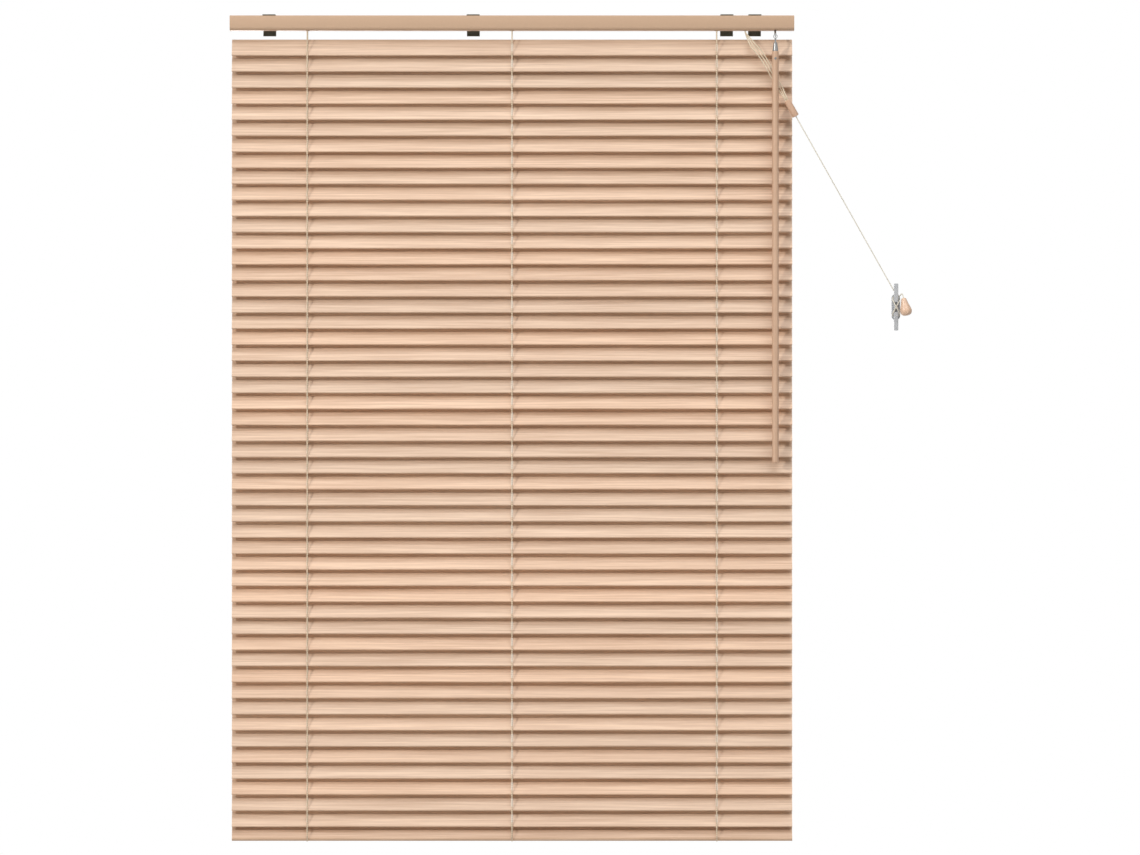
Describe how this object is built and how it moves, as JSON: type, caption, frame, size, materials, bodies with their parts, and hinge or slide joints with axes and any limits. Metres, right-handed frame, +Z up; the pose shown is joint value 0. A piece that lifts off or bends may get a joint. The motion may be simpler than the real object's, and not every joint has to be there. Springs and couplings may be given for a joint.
{
  "type": "venetian blind",
  "caption": "Wooden venetian blind with routed slats on cord ladders, steel headrail, tilt wand and lift cords wound on a wall cleat.",
  "frame": {"origin": "on the wall plane, at the centre of the line of wall screw holes in the end brackets", "axes": "+X to the right along the slats, +Y into the wall, +Z up"},
  "size_m": [0.9125, 0.0409, 1.1062],
  "materials": {
    "slat_wood": "satin",
    "wand_wood": "satin",
    "painted_channel": "satin",
    "bracket_steel": "satin",
    "fitting_plastic": "matte",
    "shaft_steel": "satin",
    "cord_fibre": "matte",
    "cleat_plastic": "gloss"
  },
  "bodies": {
    "fixed_frame": {"headrail": "painted_channel", "mounting_brackets": "bracket_steel", "moulded_fittings": "fitting_plastic", "lift_cord_set": "cord_fibre", "cord_cleat": "cleat_plastic"},
    "slat_01": {"slat_01": "slat_wood"},
    "slat_02": {"slat_02": "slat_wood"},
    "slat_03": {"slat_03": "slat_wood"},
    "slat_04": {"slat_04": "slat_wood"},
    "slat_05": {"slat_05": "slat_wood"},
    "slat_06": {"slat_06": "slat_wood"},
    "slat_07": {"slat_07": "slat_wood"},
    "slat_08": {"slat_08": "slat_wood"},
    "slat_09": {"slat_09": "slat_wood"},
    "slat_10": {"slat_10": "slat_wood"},
    "slat_11": {"slat_11": "slat_wood"},
    "slat_12": {"slat_12": "slat_wood"},
    "slat_13": {"slat_13": "slat_wood"},
    "slat_14": {"slat_14": "slat_wood"},
    "slat_15": {"slat_15": "slat_wood"},
    "slat_16": {"slat_16": "slat_wood"},
    "slat_17": {"slat_17": "slat_wood"},
    "slat_18": {"slat_18": "slat_wood"},
    "slat_19": {"slat_19": "slat_wood"},
    "slat_20": {"slat_20": "slat_wood"},
    "slat_21": {"slat_21": "slat_wood"},
    "slat_22": {"slat_22": "slat_wood"},
    "slat_23": {"slat_23": "slat_wood"},
    "slat_24": {"slat_24": "slat_wood"},
    "slat_25": {"slat_25": "slat_wood"},
    "slat_26": {"slat_26": "slat_wood"},
    "slat_27": {"slat_27": "slat_wood"},
    "slat_28": {"slat_28": "slat_wood"},
    "slat_29": {"slat_29": "slat_wood"},
    "slat_30": {"slat_30": "slat_wood"},
    "slat_31": {"slat_31": "slat_wood"},
    "slat_32": {"slat_32": "slat_wood"},
    "slat_33": {"slat_33": "slat_wood"},
    "slat_34": {"slat_34": "slat_wood"},
    "slat_35": {"slat_35": "slat_wood"},
    "slat_36": {"slat_36": "slat_wood"},
    "slat_37": {"slat_37": "slat_wood"},
    "slat_38": {"slat_38": "slat_wood"},
    "slat_39": {"slat_39": "slat_wood"},
    "slat_40": {"slat_40": "slat_wood"},
    "slat_41": {"slat_41": "slat_wood"},
    "slat_42": {"slat_42": "slat_wood"},
    "slat_43": {"slat_43": "slat_wood"},
    "slat_44": {"slat_44": "slat_wood"},
    "slat_45": {"slat_45": "slat_wood"},
    "slat_46": {"slat_46": "slat_wood"},
    "slat_47": {"slat_47": "slat_wood"},
    "slat_48": {"slat_48": "slat_wood"},
    "slat_49": {"slat_49": "slat_wood"},
    "bottom_rail": {"bottom_rail": "slat_wood"},
    "ladder_front": {"ladder_front": "cord_fibre"},
    "ladder_back": {"ladder_back": "cord_fibre"},
    "tilt_shaft": {"tilt_shaft": "shaft_steel"},
    "tilt_worm": {"tilt_worm": "shaft_steel"},
    "tilt_wand": {"tilt_wand": "wand_wood"}
  },
  "joints": [
    {"name": "slat_01_tilt", "type": "hinge", "parent": "fixed_frame", "child": "slat_01", "pos_m": [0, -0.016, -0.0326], "axis": [1, 0, 0], "range_deg": [-131, 9]},
    {"name": "slat_02_tilt", "type": "hinge", "parent": "fixed_frame", "child": "slat_02", "pos_m": [0, -0.016, -0.0541], "axis": [1, 0, 0], "range_deg": [-131, 9]},
    {"name": "slat_03_tilt", "type": "hinge", "parent": "fixed_frame", "child": "slat_03", "pos_m": [0, -0.016, -0.0756], "axis": [1, 0, 0], "range_deg": [-131, 9]},
    {"name": "slat_04_tilt", "type": "hinge", "parent": "fixed_frame", "child": "slat_04", "pos_m": [0, -0.016, -0.0971], "axis": [1, 0, 0], "range_deg": [-131, 9]},
    {"name": "slat_05_tilt", "type": "hinge", "parent": "fixed_frame", "child": "slat_05", "pos_m": [0, -0.016, -0.1186], "axis": [1, 0, 0], "range_deg": [-131, 9]},
    {"name": "slat_06_tilt", "type": "hinge", "parent": "fixed_frame", "child": "slat_06", "pos_m": [0, -0.016, -0.1401], "axis": [1, 0, 0], "range_deg": [-131, 9]},
    {"name": "slat_07_tilt", "type": "hinge", "parent": "fixed_frame", "child": "slat_07", "pos_m": [0, -0.016, -0.1616], "axis": [1, 0, 0], "range_deg": [-131, 9]},
    {"name": "slat_08_tilt", "type": "hinge", "parent": "fixed_frame", "child": "slat_08", "pos_m": [0, -0.016, -0.1831], "axis": [1, 0, 0], "range_deg": [-131, 9]},
    {"name": "slat_09_tilt", "type": "hinge", "parent": "fixed_frame", "child": "slat_09", "pos_m": [0, -0.016, -0.2046], "axis": [1, 0, 0], "range_deg": [-131, 9]},
    {"name": "slat_10_tilt", "type": "hinge", "parent": "fixed_frame", "child": "slat_10", "pos_m": [0, -0.016, -0.2261], "axis": [1, 0, 0], "range_deg": [-131, 9]},
    {"name": "slat_11_tilt", "type": "hinge", "parent": "fixed_frame", "child": "slat_11", "pos_m": [0, -0.016, -0.2476], "axis": [1, 0, 0], "range_deg": [-131, 9]},
    {"name": "slat_12_tilt", "type": "hinge", "parent": "fixed_frame", "child": "slat_12", "pos_m": [0, -0.016, -0.2691], "axis": [1, 0, 0], "range_deg": [-131, 9]},
    {"name": "slat_13_tilt", "type": "hinge", "parent": "fixed_frame", "child": "slat_13", "pos_m": [0, -0.016, -0.2906], "axis": [1, 0, 0], "range_deg": [-131, 9]},
    {"name": "slat_14_tilt", "type": "hinge", "parent": "fixed_frame", "child": "slat_14", "pos_m": [0, -0.016, -0.3121], "axis": [1, 0, 0], "range_deg": [-131, 9]},
    {"name": "slat_15_tilt", "type": "hinge", "parent": "fixed_frame", "child": "slat_15", "pos_m": [0, -0.016, -0.3336], "axis": [1, 0, 0], "range_deg": [-131, 9]},
    {"name": "slat_16_tilt", "type": "hinge", "parent": "fixed_frame", "child": "slat_16", "pos_m": [0, -0.016, -0.3551], "axis": [1, 0, 0], "range_deg": [-131, 9]},
    {"name": "slat_17_tilt", "type": "hinge", "parent": "fixed_frame", "child": "slat_17", "pos_m": [0, -0.016, -0.3766], "axis": [1, 0, 0], "range_deg": [-131, 9]},
    {"name": "slat_18_tilt", "type": "hinge", "parent": "fixed_frame", "child": "slat_18", "pos_m": [0, -0.016, -0.3981], "axis": [1, 0, 0], "range_deg": [-131, 9]},
    {"name": "slat_19_tilt", "type": "hinge", "parent": "fixed_frame", "child": "slat_19", "pos_m": [0, -0.016, -0.4196], "axis": [1, 0, 0], "range_deg": [-131, 9]},
    {"name": "slat_20_tilt", "type": "hinge", "parent": "fixed_frame", "child": "slat_20", "pos_m": [0, -0.016, -0.4411], "axis": [1, 0, 0], "range_deg": [-131, 9]},
    {"name": "slat_21_tilt", "type": "hinge", "parent": "fixed_frame", "child": "slat_21", "pos_m": [0, -0.016, -0.4626], "axis": [1, 0, 0], "range_deg": [-131, 9]},
    {"name": "slat_22_tilt", "type": "hinge", "parent": "fixed_frame", "child": "slat_22", "pos_m": [0, -0.016, -0.4841], "axis": [1, 0, 0], "range_deg": [-131, 9]},
    {"name": "slat_23_tilt", "type": "hinge", "parent": "fixed_frame", "child": "slat_23", "pos_m": [0, -0.016, -0.5056], "axis": [1, 0, 0], "range_deg": [-131, 9]},
    {"name": "slat_24_tilt", "type": "hinge", "parent": "fixed_frame", "child": "slat_24", "pos_m": [0, -0.016, -0.5271], "axis": [1, 0, 0], "range_deg": [-131, 9]},
    {"name": "slat_25_tilt", "type": "hinge", "parent": "fixed_frame", "child": "slat_25", "pos_m": [0, -0.016, -0.5486], "axis": [1, 0, 0], "range_deg": [-131, 9]},
    {"name": "slat_26_tilt", "type": "hinge", "parent": "fixed_frame", "child": "slat_26", "pos_m": [0, -0.016, -0.5701], "axis": [1, 0, 0], "range_deg": [-131, 9]},
    {"name": "slat_27_tilt", "type": "hinge", "parent": "fixed_frame", "child": "slat_27", "pos_m": [0, -0.016, -0.5916], "axis": [1, 0, 0], "range_deg": [-131, 9]},
    {"name": "slat_28_tilt", "type": "hinge", "parent": "fixed_frame", "child": "slat_28", "pos_m": [0, -0.016, -0.6131], "axis": [1, 0, 0], "range_deg": [-131, 9]},
    {"name": "slat_29_tilt", "type": "hinge", "parent": "fixed_frame", "child": "slat_29", "pos_m": [0, -0.016, -0.6346], "axis": [1, 0, 0], "range_deg": [-131, 9]},
    {"name": "slat_30_tilt", "type": "hinge", "parent": "fixed_frame", "child": "slat_30", "pos_m": [0, -0.016, -0.6561], "axis": [1, 0, 0], "range_deg": [-131, 9]},
    {"name": "slat_31_tilt", "type": "hinge", "parent": "fixed_frame", "child": "slat_31", "pos_m": [0, -0.016, -0.6776], "axis": [1, 0, 0], "range_deg": [-131, 9]},
    {"name": "slat_32_tilt", "type": "hinge", "parent": "fixed_frame", "child": "slat_32", "pos_m": [0, -0.016, -0.6991], "axis": [1, 0, 0], "range_deg": [-131, 9]},
    {"name": "slat_33_tilt", "type": "hinge", "parent": "fixed_frame", "child": "slat_33", "pos_m": [0, -0.016, -0.7206], "axis": [1, 0, 0], "range_deg": [-131, 9]},
    {"name": "slat_34_tilt", "type": "hinge", "parent": "fixed_frame", "child": "slat_34", "pos_m": [0, -0.016, -0.7421], "axis": [1, 0, 0], "range_deg": [-131, 9]},
    {"name": "slat_35_tilt", "type": "hinge", "parent": "fixed_frame", "child": "slat_35", "pos_m": [0, -0.016, -0.7636], "axis": [1, 0, 0], "range_deg": [-131, 9]},
    {"name": "slat_36_tilt", "type": "hinge", "parent": "fixed_frame", "child": "slat_36", "pos_m": [0, -0.016, -0.7851], "axis": [1, 0, 0], "range_deg": [-131, 9]},
    {"name": "slat_37_tilt", "type": "hinge", "parent": "fixed_frame", "child": "slat_37", "pos_m": [0, -0.016, -0.8066], "axis": [1, 0, 0], "range_deg": [-131, 9]},
    {"name": "slat_38_tilt", "type": "hinge", "parent": "fixed_frame", "child": "slat_38", "pos_m": [0, -0.016, -0.8281], "axis": [1, 0, 0], "range_deg": [-131, 9]},
    {"name": "slat_39_tilt", "type": "hinge", "parent": "fixed_frame", "child": "slat_39", "pos_m": [0, -0.016, -0.8496], "axis": [1, 0, 0], "range_deg": [-131, 9]},
    {"name": "slat_40_tilt", "type": "hinge", "parent": "fixed_frame", "child": "slat_40", "pos_m": [0, -0.016, -0.8711], "axis": [1, 0, 0], "range_deg": [-131, 9]},
    {"name": "slat_41_tilt", "type": "hinge", "parent": "fixed_frame", "child": "slat_41", "pos_m": [0, -0.016, -0.8926], "axis": [1, 0, 0], "range_deg": [-131, 9]},
    {"name": "slat_42_tilt", "type": "hinge", "parent": "fixed_frame", "child": "slat_42", "pos_m": [0, -0.016, -0.9141], "axis": [1, 0, 0], "range_deg": [-131, 9]},
    {"name": "slat_43_tilt", "type": "hinge", "parent": "fixed_frame", "child": "slat_43", "pos_m": [0, -0.016, -0.9356], "axis": [1, 0, 0], "range_deg": [-131, 9]},
    {"name": "slat_44_tilt", "type": "hinge", "parent": "fixed_frame", "child": "slat_44", "pos_m": [0, -0.016, -0.9571], "axis": [1, 0, 0], "range_deg": [-131, 9]},
    {"name": "slat_45_tilt", "type": "hinge", "parent": "fixed_frame", "child": "slat_45", "pos_m": [0, -0.016, -0.9786], "axis": [1, 0, 0], "range_deg": [-131, 9]},
    {"name": "slat_46_tilt", "type": "hinge", "parent": "fixed_frame", "child": "slat_46", "pos_m": [0, -0.016, -1.0001], "axis": [1, 0, 0], "range_deg": [-131, 9]},
    {"name": "slat_47_tilt", "type": "hinge", "parent": "fixed_frame", "child": "slat_47", "pos_m": [0, -0.016, -1.0216], "axis": [1, 0, 0], "range_deg": [-131, 9]},
    {"name": "slat_48_tilt", "type": "hinge", "parent": "fixed_frame", "child": "slat_48", "pos_m": [0, -0.016, -1.0431], "axis": [1, 0, 0], "range_deg": [-131, 9]},
    {"name": "slat_49_tilt", "type": "hinge", "parent": "fixed_frame", "child": "slat_49", "pos_m": [0, -0.016, -1.0646], "axis": [1, 0, 0], "range_deg": [-131, 9]},
    {"name": "rail_tilt", "type": "hinge", "parent": "fixed_frame", "child": "bottom_rail", "pos_m": [0, -0.016, -1.0816], "axis": [1, 0, 0], "range_deg": [-131, 9]},
    {"name": "ladder_front_shift", "type": "hinge", "parent": "slat_01", "child": "ladder_front", "pos_m": [0, -0.02138, -0.04231], "axis": [1, 0, 0], "range_deg": [-9, 131]},
    {"name": "ladder_back_shift", "type": "hinge", "parent": "slat_01", "child": "ladder_back", "pos_m": [0, -0.01062, -0.02289], "axis": [1, 0, 0], "range_deg": [-9, 131]},
    {"name": "shaft_turn", "type": "hinge", "parent": "fixed_frame", "child": "tilt_shaft", "pos_m": [0, -0.016, 0.0022], "axis": [1, 0, 0], "range_deg": [-161.42, 11.56]},
    {"name": "worm_turn", "type": "hinge", "parent": "fixed_frame", "child": "tilt_worm", "pos_m": [0.352, -0.0125, -0.00386], "axis": [0, -0.866, -0.5], "range_deg": [-1933.08, 134.67]},
    {"name": "wand_twist", "type": "hinge", "parent": "fixed_frame", "child": "tilt_wand", "pos_m": [0.352, -0.036, -0.01743], "axis": [0, 0, -1], "range_deg": [-1931, 132], "deforming": ["ladder_front", "ladder_back"]}
  ],
  "couplings": [
    {"joint": "slat_01_tilt", "follows": "wand_twist", "ratio": 0.067838},
    {"joint": "slat_02_tilt", "follows": "wand_twist", "ratio": 0.067838},
    {"joint": "slat_03_tilt", "follows": "wand_twist", "ratio": 0.067838},
    {"joint": "slat_04_tilt", "follows": "wand_twist", "ratio": 0.067838},
    {"joint": "slat_05_tilt", "follows": "wand_twist", "ratio": 0.067838},
    {"joint": "slat_06_tilt", "follows": "wand_twist", "ratio": 0.067838},
    {"joint": "slat_07_tilt", "follows": "wand_twist", "ratio": 0.067838},
    {"joint": "slat_08_tilt", "follows": "wand_twist", "ratio": 0.067838},
    {"joint": "slat_09_tilt", "follows": "wand_twist", "ratio": 0.067838},
    {"joint": "slat_10_tilt", "follows": "wand_twist", "ratio": 0.067838},
    {"joint": "slat_11_tilt", "follows": "wand_twist", "ratio": 0.067838},
    {"joint": "slat_12_tilt", "follows": "wand_twist", "ratio": 0.067838},
    {"joint": "slat_13_tilt", "follows": "wand_twist", "ratio": 0.067838},
    {"joint": "slat_14_tilt", "follows": "wand_twist", "ratio": 0.067838},
    {"joint": "slat_15_tilt", "follows": "wand_twist", "ratio": 0.067838},
    {"joint": "slat_16_tilt", "follows": "wand_twist", "ratio": 0.067838},
    {"joint": "slat_17_tilt", "follows": "wand_twist", "ratio": 0.067838},
    {"joint": "slat_18_tilt", "follows": "wand_twist", "ratio": 0.067838},
    {"joint": "slat_19_tilt", "follows": "wand_twist", "ratio": 0.067838},
    {"joint": "slat_20_tilt", "follows": "wand_twist", "ratio": 0.067838},
    {"joint": "slat_21_tilt", "follows": "wand_twist", "ratio": 0.067838},
    {"joint": "slat_22_tilt", "follows": "wand_twist", "ratio": 0.067838},
    {"joint": "slat_23_tilt", "follows": "wand_twist", "ratio": 0.067838},
    {"joint": "slat_24_tilt", "follows": "wand_twist", "ratio": 0.067838},
    {"joint": "slat_25_tilt", "follows": "wand_twist", "ratio": 0.067838},
    {"joint": "slat_26_tilt", "follows": "wand_twist", "ratio": 0.067838},
    {"joint": "slat_27_tilt", "follows": "wand_twist", "ratio": 0.067838},
    {"joint": "slat_28_tilt", "follows": "wand_twist", "ratio": 0.067838},
    {"joint": "slat_29_tilt", "follows": "wand_twist", "ratio": 0.067838},
    {"joint": "slat_30_tilt", "follows": "wand_twist", "ratio": 0.067838},
    {"joint": "slat_31_tilt", "follows": "wand_twist", "ratio": 0.067838},
    {"joint": "slat_32_tilt", "follows": "wand_twist", "ratio": 0.067838},
    {"joint": "slat_33_tilt", "follows": "wand_twist", "ratio": 0.067838},
    {"joint": "slat_34_tilt", "follows": "wand_twist", "ratio": 0.067838},
    {"joint": "slat_35_tilt", "follows": "wand_twist", "ratio": 0.067838},
    {"joint": "slat_36_tilt", "follows": "wand_twist", "ratio": 0.067838},
    {"joint": "slat_37_tilt", "follows": "wand_twist", "ratio": 0.067838},
    {"joint": "slat_38_tilt", "follows": "wand_twist", "ratio": 0.067838},
    {"joint": "slat_39_tilt", "follows": "wand_twist", "ratio": 0.067838},
    {"joint": "slat_40_tilt", "follows": "wand_twist", "ratio": 0.067838},
    {"joint": "slat_41_tilt", "follows": "wand_twist", "ratio": 0.067838},
    {"joint": "slat_42_tilt", "follows": "wand_twist", "ratio": 0.067838},
    {"joint": "slat_43_tilt", "follows": "wand_twist", "ratio": 0.067838},
    {"joint": "slat_44_tilt", "follows": "wand_twist", "ratio": 0.067838},
    {"joint": "slat_45_tilt", "follows": "wand_twist", "ratio": 0.067838},
    {"joint": "slat_46_tilt", "follows": "wand_twist", "ratio": 0.067838},
    {"joint": "slat_47_tilt", "follows": "wand_twist", "ratio": 0.067838},
    {"joint": "slat_48_tilt", "follows": "wand_twist", "ratio": 0.067838},
    {"joint": "slat_49_tilt", "follows": "wand_twist", "ratio": 0.067838},
    {"joint": "rail_tilt", "follows": "wand_twist", "ratio": 0.067838},
    {"joint": "ladder_front_shift", "follows": "wand_twist", "ratio": -0.067838},
    {"joint": "ladder_back_shift", "follows": "wand_twist", "ratio": -0.067838},
    {"joint": "shaft_turn", "follows": "wand_twist", "ratio": 0.083333},
    {"joint": "worm_turn", "follows": "wand_twist", "ratio": 1}
  ]
}
